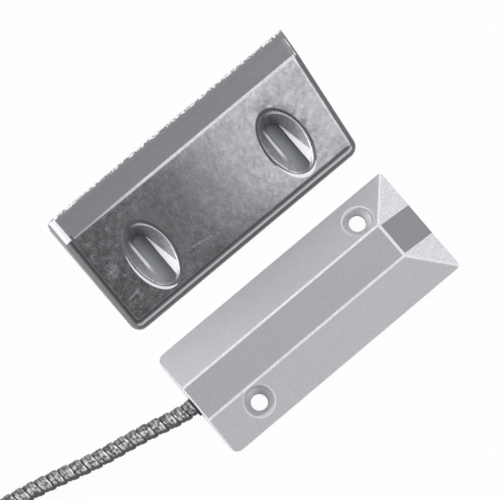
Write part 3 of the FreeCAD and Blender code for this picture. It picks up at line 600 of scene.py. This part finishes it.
class Casting(Finish):
    """A metal finish with painted layers: greys of its own, which go over the metal where a
    mask says so. A mask is a number from 0 to 1, so a product of masks holds where all do.
    x, y and z are the point's place in millimetres, tone is the grey so far, and metal is how
    much of it is metal."""

    def __init__(self, name, metal):
        super().__init__(name)
        self.x, self.y, self.z = (value * 1000.0 for value in self.along_axes())
        self.metal = metal
        self.tone = None

    def blend(self, share, first, second):
        """The first number where the share is 0, and the second where it is 1."""
        node = self.add("ShaderNodeMix", data_type="FLOAT")
        for source, place in ((share, 0), (first, 2), (second, 3)):
            self.feed(source, node.inputs[place])
        return Value(self, node.outputs[0])

    def line(self, distance, half_width):
        """1 on a line and 0 beyond its half width."""
        return self.fade(abs(distance), half_width, half_width * 0.35)

    def reach(self, first, second):
        """The square root of the sum of two squares."""
        return self.maths("SQRT", first * first + second * second)

    def steps(self, value, stops, full):
        """A grey that follows a length of up to full: stops are (length, grey) pairs."""
        return self.ramp(value / full, [(at / full, grey) for at, grey in stops])

    def grain(self, scale, detail, low, high, roughness=0.6, start=0.35, end=0.65):
        """Noise between two greys."""
        return self.ramp(self.noise(scale, detail, roughness), ((start, low), (end, high)))

    def paint(self, mask, grey, matt=0.85):
        """Lays a grey over the tone, and takes this share of the metal away there."""
        self.metal = self.metal * (1.0 - mask * matt)
        self.tone = self.blend(mask, self.tone, grey)

    def close_cast(self, roughness, height, strength):
        """Gives the material its tone, metal share, roughness and cast skin."""
        return self.close(
            Base_Color=self.tinted(self.tone, METAL_TINT),
            Metallic=self.metal,
            Roughness=roughness,
            Normal=self.bump(height, strength, 0.0002),
        )


def corners_of(node):
    """A node's lowest and highest corner in millimetres."""
    return ([c * 1000.0 for c in corner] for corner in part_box(node))


def blasted_aluminium():
    """Painted highlight lines lie on the roof's folds. v is the distance from the unit's middle
    line.
    A hip line runs where spread * (x - crown end) = hip length * (v - half the crown). The
    two screw holes lie at one place, once the unit is turned by half a turn."""
    f = Casting("blasted_aluminium", BLASTED_METAL)
    low, high = corners_of("switch_housing")
    spread = (high[1] - low[1]) / 2 - CROWN_HALF
    slant = math.hypot(HIP_LENGTH, spread)
    from_middle = f.y - (low[1] + high[1]) / 2
    v = abs(from_middle)
    past = f.x - (high[0] - HIP_LENGTH)
    beside = v - CROWN_HALF
    hip_side = past * (spread / slant) - beside * (HIP_LENGTH / slant)
    above = f.fade(f.z, 1.0, 1.4)
    on_crown = f.fade(past, 0.2, 0.0)
    off_crown = f.fade(past, -0.2, 0.0)
    turned = f.maths("SIGN", from_middle) * (f.x - (low[0] + high[0]) / 2)
    hole = f.reach(turned - HOLE_ALONG, v - HOLE_ACROSS)

    # The blasted skin is painted a little paler, as light, on the slope towards the magnet unit,
    # more so to the left, and rougher and painted paler on the hip. The walls of the holes have
    # painted light.
    by_magnet = f.fade(from_middle, CROWN_HALF - 0.2, CROWN_HALF + 0.2)
    lift = f.blend(by_magnet, 1.0, f.blend(f.fade(f.x, 0.0, -42.0), 1.04, 1.20))
    skin = f.grain(2600.0, 2.0, *SKIN_GREYS) * lift
    hip = f.fade(hip_side, -0.1, 0.1) * off_crown * above
    wall = f.fade(hole, 5.0, 4.6) * above
    f.tone = f.blend(hip, skin, f.grain(1700.0, 3.0, *HIP_LIT_GREYS)) * f.blend(wall, 1.0, WALL_LIGHT)

    # The folds have painted highlights as scuffed lines, and so do the square end and the holes'
    # rings, which fade towards the crown.
    folds = f.highest(
        f.line(beside, 0.62) * on_crown,
        f.line(past, 0.55) * f.fade(beside, 0.3, 0.1),
        f.line(hip_side, 0.60) * off_crown,
    )
    f.paint(folds * above, f.grain(900.0, 3.0, *FOLD_HIGHLIGHT_GREYS))
    end = f.fade(f.x, low[0] + 0.45, low[0] + 0.2)
    f.paint(end * above, END_HIGHLIGHT_GREY)
    outer = f.blend(f.fade(v - HOLE_ACROSS, -4.0, 2.5), 0.3, 1.0)
    f.paint(f.line(hole - HOLE_RING, 0.42) * above * outer, RING_HIGHLIGHT_GREY)
    return f.close_cast(f.grain(1200.0, 3.0, 0.42, 0.52), f.noise(3200.0, 2.0), 0.25)


def dress(finish, *names):
    """Gives nodes of the part their finish."""
    for name in names:
        slots = nodes[name].data.materials
        slots.clear()
        slots.append(finish)


dress(blasted_aluminium(), "switch_housing")

# Magnet casting: plated and shiny, with the cloudy patches that plating leaves on a cast skin.
# Its crest, its left end and the edges of its recesses have painted highlights, and painted
# shade lies in the creases beside them. Sizes are in millimetres, greys from 0 to 1.
MAGNET_LEFT = 49.7
MAGNET_TAPER = 4.7
MAGNET_FRONT = 3.75
MAGNET_TOP = 9.9
CORNER_RADIUS = 3.8
SLOT_ALONG = 29.15
MOUTH_MIDDLE = 16.6
MOUTH_HALF = (7.7, 12.4)
SLOT_HALF = 2.35
SLOT_LAND = 4.2
FACET_RISE = math.tan(math.radians(32.0))
# Greys of painted highlight and of painted shade.
PAINTED_HIGHLIGHT = 0.98
PAINTED_SHADE = 0.10
# The rolled rim's painted reflection: its width, and greys across it as pairs of a distance in
# from its edge and a grey, for its front, left and right.
RIM_WIDTH = 4.0
RIM_FRONT = (
    (0.0, 0.14), (0.8, 0.13), (1.1, 0.38), (1.4, 0.74), (1.75, 0.36), (2.1, 0.13), (2.7, 0.07),
)
RIM_LEFT = ((0.0, 0.20), (1.3, 0.23), (1.7, 0.15), (2.3, 0.065))
RIM_RIGHT = ((0.0, 0.12), (1.2, 0.12), (1.5, 0.06))
RECESS_SHADE = ((0.0, 0.32), (14.0, 0.28), (20.0, 0.17))
MARKS = (((-19.6, 10.5), (-8.6, 8.6)), ((-45.2, 10.0), (-39.0, 10.8)))
STAIN_LEFT = 42.8
STAIN_UP = 21.0


def plated_casting():
    """front, back, left and right are distances from the unit's sides, and across is counted
    from the middle between its recesses. rim is the distance from a rectangle with rounded
    corners: the corner radius less the reach of what is left of it on both sides. depth is how
    far a point lies below the inclined face. A recess's distance e is 1 on its oval outline:
    the reach of (along / half its width) and (up / half its height)."""
    f = Casting("plated_casting", 1.0)
    low, high = corners_of("magnet_housing")
    wide = high[1] - low[1]
    front = f.y - low[1]
    back = high[1] - f.y
    left = f.x - low[0]
    right = high[0] - (f.x + back * (MAGNET_TAPER / wide))
    across = f.x - (low[0] + MAGNET_LEFT)
    on_top = f.fade(back, MAGNET_TOP + 0.2, MAGNET_TOP - 0.2)
    below_top = f.fade(back, MAGNET_TOP - 0.4, MAGNET_TOP + 0.4)
    to_right = f.fade(across, -30.0, 26.0)
    by_right = f.fade(across, -1.0, 1.0)

    # The plate: cloudy, speckled to the left and hazy to the right, with painted light right of
    # its middle and below the crest, and painted shade at its right end, left of its middle and
    # along its front.
    cloud = f.grain(340.0, 5.0, 0.49, 0.61)
    speckle = f.blend(to_right, f.grain(1900.0, 2.0, 0.78, 1.20, start=0.3, end=0.7), 1.0)
    haze = f.blend(to_right, 1.0, f.grain(700.0, 4.0, 0.88, 1.10))
    ahead = across + (front - 18.0) * 0.3
    lit = 0.98
    for share, amount in (
        (f.fade(ahead, -2.0, 18.0), 0.34),
        (f.fade(across, 26.0, 42.0), -0.20),
        (f.line(across + 14.0, 11.0), -0.13),
        (f.fade(front, 12.0, 3.0) * f.fade(across, -26.0, -6.0), -0.20),
        (f.fade(back, 14.5, MAGNET_TOP + 0.5), 0.13),
    ):
        lit = lit + share * amount
    f.tone = cloud * speckle * haze * lit

    # The flat top is duller, in a darker grey of painted reflection, and the crest in front of it
    # has a painted highlight, weaker to the left.
    f.paint(on_top, f.grain(700.0, 3.0, 0.265, 0.285), matt=0.8)
    crest_width = f.blend(f.fade(across, -44.0, -16.0), 0.44, 0.76)
    crest = f.fade(abs(back - (MAGNET_TOP + 0.1)) / crest_width, 1.0, 0.35)
    pale = f.blend(f.fade(across, -46.0, -10.0), 0.48, f.grain(800.0, 3.0, 0.75, 0.98))
    f.paint(crest, pale)

    # The rolled rim: a grey of painted reflection, with a painted highlight line along the front
    # and painted shade in the crease inside it.
    side_left = f.highest(CORNER_RADIUS - f.maths("MINIMUM", left, right), 0.0)
    front_left = f.highest(CORNER_RADIUS - front, 0.0)
    rim = CORNER_RADIUS - f.reach(side_left, front_left)
    by_front = f.fade(front_left - side_left, -0.8, 0.8)
    rim_front, rim_left, rim_right = (
        f.steps(rim, stops, RIM_WIDTH) for stops in (RIM_FRONT, RIM_LEFT, RIM_RIGHT)
    )
    rim_tone = f.blend(by_front, f.blend(by_right, rim_left, rim_right), rim_front)
    reach_in = f.blend(by_front, f.blend(by_right, 2.9, 1.6), 3.1)
    f.paint(f.fade(rim - reach_in, 0.5, -0.5) * below_top, rim_tone)

    # The flat top's edges, in painted light and shade: a painted highlight band at its left end
    # with a painted shade gap between it and the crest, a shaded right end with a broken painted
    # highlight, and a shaded back edge with painted highlight in patches.
    f.paint(on_top * f.fade(left, 3.1, 2.6), f.blend(f.fade(left, 0.25, 0.9), 0.22, 0.97))
    flash = f.line(right - 1.0, 0.26) * f.fade(back, 2.4, 3.4)
    broken = f.grain(420.0, 1.0, 0.45, PAINTED_HIGHLIGHT)
    f.paint(on_top * f.fade(right, 1.4, 1.1), f.blend(flash, 0.10, broken))
    f.paint(f.line(left - 3.4, 0.55) * f.line(back - MAGNET_TOP, 2.2), 0.11)
    back_edge = on_top * f.fade(back, 4.0, 2.2) * f.fade(left, 2.6, 3.1) * f.fade(f.z, 11.5, 12.5)
    f.paint(back_edge, 0.225)
    ragged = f.grain(800.0, 5.0, 0.08, 0.98, roughness=0.8, start=0.46, end=0.50)
    frayed = back + f.grain(600.0, 3.0, 0.0, 0.8, start=0.4, end=0.7)
    upper = f.fade(f.z + frayed * 2.0, 12.6, 13.2)
    f.paint(on_top * upper * f.fade(frayed, 1.3, 1.1), ragged)

    along = across - f.maths("SIGN", across) * SLOT_ALONG
    up = front - MOUTH_MIDDLE
    oval_x, oval_y = along / MOUTH_HALF[0], up / MOUTH_HALF[1]
    e = f.reach(oval_x, oval_y)
    to_x, to_y = oval_x / e, oval_y / e
    slope = (high[2] - MAGNET_FRONT) / (wide - MAGNET_TOP)
    depth = MAGNET_FRONT + front * slope - f.z
    inside = f.fade(depth, 0.25, 0.5) * f.fade(e, 1.02, 0.99)
    from_slot = abs(along) - SLOT_HALF
    plane = SLOT_LAND + from_slot * FACET_RISE

    def towards(x, y, start, full):
        """A mask for one side of a recess."""
        return f.fade(to_x * x + to_y * y, start, full)

    # The recesses: a wall in painted shade, darker upwards, with a painted highlight on the facet
    # beside the slot and a painted highlight bead on the other side.
    wall = f.steps(up + MOUTH_HALF[1], RECESS_SHADE, 25.0)
    f.paint(inside, wall * f.grain(900.0, 3.0, 0.85, 1.15))
    facet = f.line(f.z - plane, 0.22) * f.fade(from_slot, -0.1, 0.1) * inside
    f.paint(facet * f.fade(along, 0.0, 0.5), PAINTED_HIGHLIGHT, matt=0.7)
    bead = f.line(along + 3.2, 0.78) * f.fade(up, 8.8, 5.0) * f.fade(up, -5.5, 0.0) * inside
    f.paint(bead, PAINTED_HIGHLIGHT)

    # Their mouths, in painted light and shade: a dark rounded edge, with a grey highlight arc and
    # a black shadow to the upper right and smudged shade beyond them, and a highlight crescent
    # opposite.
    f.paint(f.fade(e, 0.90, 0.94) * f.fade(e, 1.05, 1.01), f.blend(to_right, 0.15, 0.20))
    f.paint(f.line(e - 0.915, 0.035) * towards(0.87, 0.50, 0.45, 0.9), 0.60)
    dark_side = f.highest(
        towards(0.80, 0.60, 0.1, 0.6), to_right * towards(-0.6, 0.8, -0.2, 0.3)
    )
    f.paint(f.line(e - 1.0, 0.06) * dark_side, f.blend(to_right, 0.09, 0.065))
    shade_beyond = f.fade(e, 1.50, 1.02) * towards(0.80, 0.60, 0.2, 0.8) * f.grain(500.0, 4.0, 0.1, 0.70)
    f.paint(shade_beyond * below_top * f.fade(e, 1.0, 1.03), PAINTED_SHADE, matt=0.5)
    low_side = f.blend(
        by_right, towards(-0.82, -0.57, 0.45, 1.15), towards(-0.35, -0.94, 0.55, 1.10)
    )
    off_crescent = abs(e - 1.01) - low_side * 0.048
    f.paint(f.fade(off_crescent, 0.022, 0.0) * f.fade(low_side, 0.0, 0.08), PAINTED_HIGHLIGHT)

    def stroke(start, end):
        """A mask for a short straight mark between two points of the inclined face: run is
        how far along it a point lies, and off how far beside it."""
        long = math.dist(start, end)
        run_x, run_y = ((b - a) / long for a, b in zip(start, end))
        from_x, from_y = across - start[0], front - start[1]
        run = from_x * run_x + from_y * run_y
        off = from_y * run_x - from_x * run_y
        return f.line(off, 0.55) * f.fade(run, -0.5, 1.5) * f.fade(run, long + 0.5, long - 2.5)

    # Two marks and a stain on the inclined face, and fine scratches at its left.
    stain = f.fade(f.reach(across + STAIN_LEFT, front - STAIN_UP), 3.4, 0.8)
    marks = f.highest(*(stroke(*ends) for ends in MARKS), stain)
    patchy = f.grain(1100.0, 3.0, 0.1, 0.9, start=0.40, end=0.56)
    f.paint(marks * patchy * below_top, 0.38, matt=0.7)
    scratches = f.grain(300.0, 5.0, 0.0, 0.55, roughness=0.8, start=0.55, end=0.66)
    scratches = scratches * f.fade(across, -14.0, -36.0) * below_top
    f.paint(scratches * f.fade(e, 1.1, 1.2) * f.fade(rim, 3.0, 3.6), 0.46, matt=0.6)
    return f.close_cast(f.grain(500.0, 4.0, 0.20, 0.28), f.noise(900.0, 3.0), 0.10)


dress(plated_casting(), "magnet_housing")

# Window and resin: a smooth dark slip of plastic is set in the hipped end, and cast resin
# fills the undersides of both units.


def moulded(name, colour, roughness, scale=1500.0):
    """A moulded or cast resin surface with a slight cloudiness and a fine skin."""
    f = Finish(name)
    shade = f.ramp(f.noise(scale), ((0.3, 0.88), (0.7, 1.0)))
    return f.close(
        Base_Color=f.tinted(colour, shade),
        Roughness=roughness,
        Normal=f.bump(f.noise(4000.0), 0.1, 0.0001),
    )


dress(moulded("window_plastic", (0.280, 0.285, 0.302), 0.45), "end_window")
dress(moulded("resin", (0.035, 0.035, 0.038), 0.35, 500.0), "switch_potting", "magnet_potting")

# Seal: a black rubber ring fills the gap between the hose and the wall that it comes out of,
# and its black stands in for the shade in that gap.
# Its sizes are in millimetres.
SEAL_AXIS = HOSE_RUN[0][1:]
SEAL_ENDS = (-52.0, -51.2)
SEAL_RADII = (3.03, 3.5)
SEAL_SIDES = 16
SEAL_RINGS = 48


def build_seal():
    """A ring about the x direction: a rounded oblong section, which is the square roots of a
    circle's cosine and sine with their signs kept, turned round the hose's axis."""
    turn = np.linspace(0.0, 2.0 * np.pi, SEAL_SIDES, endpoint=False)
    along, away = (
        np.interp(np.abs(wave) ** 0.5 * np.sign(wave), (-1, 1), ends)
        for wave, ends in ((np.cos(turn), SEAL_ENDS), (np.sin(turn), SEAL_RADII))
    )
    angle = np.linspace(0.0, 2.0 * np.pi, SEAL_RINGS, endpoint=False)[:, None]
    points = np.stack((
        np.broadcast_to(along, (SEAL_RINGS, SEAL_SIDES)),
        SEAL_AXIS[0] + away * np.cos(angle),
        SEAL_AXIS[1] + away * np.sin(angle),
    ), axis=-1) / 1000.0
    corner = np.arange(SEAL_RINGS * SEAL_SIDES).reshape(SEAL_RINGS, SEAL_SIDES)
    nearby = np.roll(corner, -1, axis=1)
    faces = np.stack((
        corner, nearby, np.roll(nearby, -1, axis=0), np.roll(corner, -1, axis=0)
    ), axis=-1).reshape(-1, 4)
    return new_piece("hose_seal", points, faces.tolist())


rubber = moulded("black_rubber", (0.018, 0.018, 0.020), 0.6, 900.0)
seal = build_seal()
seal.data.materials.append(rubber)
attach(seal, "root")

# Hose fittings: a steel collar holds the hose in the switch unit, and a steel ferrule with a
# rubber grommet closes its far end. The leads' bare ends are tinned copper strands.


def turned_steel(name, grey, axis_scale):
    """Lathe-turned steel: fine rings that follow the noise stretched along the cut."""
    f = Finish(name)
    stretched = f.add("ShaderNodeMapping", Scale=axis_scale, Vector=f.place())
    lines = f.noise(900.0, place=Value(f, stretched.outputs[0]))
    return f.close(
        Base_Color=f.ramp(lines, ((0.3, grey * 0.8), (0.7, grey))),
        Metallic=1.0,
        Roughness=f.ramp(lines, ((0.3, 0.22), (0.7, 0.38))),
        Normal=f.bump(lines, 0.2, 0.0001),
    )


def strands(name, colour):
    """Fine wires laid side by side: bands across the lead, darker between them."""
    f = Finish(name)
    wave = f.add("ShaderNodeTexWave", Scale=900.0, Distortion=1.5, Vector=f.place())
    wave.bands_direction = "DIAGONAL"
    wires = Value(f, wave.outputs["Fac"])
    return f.close(
        Base_Color=f.tinted(colour, f.ramp(wires, ((0.1, 0.45), (0.6, 1.0)))),
        Metallic=1.0,
        Roughness=0.3,
        Normal=f.bump(wires, 0.5, 0.0001),
    )


dress(turned_steel("collar_steel", 0.62, (3.0, 0.3, 0.3)), "hose_collar")
dress(turned_steel("ferrule_steel", 0.66, (1.6, 0.5, 0.5)), "hose_end_ferrule")
dress(rubber, "end_grommet")
dress(strands("tinned_copper", (0.80, 0.58, 0.44)), "lead_core_a", "lead_core_b")

# Inside the switch unit: a glass reed capsule with two nickel-iron blades in a plastic tube,
# and its two leads, sleeved where they are soldered. The magnet unit holds two ferrite bars.


def clear_glass():
    """Greenish lead glass, a little wavy."""
    f = Finish("reed_glass")
    return f.close(
        Base_Color=f.ramp(f.noise(400.0), ((0.3, 0.90), (0.7, 0.97))),
        Transmission_Weight=1.0,
        Roughness=0.03,
        IOR=1.5,
        Normal=f.bump(f.noise(500.0), 0.05, 0.0002),
    )


dress(moulded("tube_plastic", (0.62, 0.62, 0.60), 0.4), "reed_tube")
dress(clear_glass(), "reed_capsule")
dress(turned_steel("blade_metal", 0.58, (0.4, 2.0, 2.0)), "reed_blade_a", "reed_blade_b")
dress(rubber, "lead_sleeve_a", "lead_sleeve_b")
dress(white_insulation, "inner_lead_a")
dress(black_insulation, "inner_lead_b")
dress(moulded("ferrite", (0.045, 0.043, 0.043), 0.55, 2500.0), "magnet_bar_a", "magnet_bar_b")
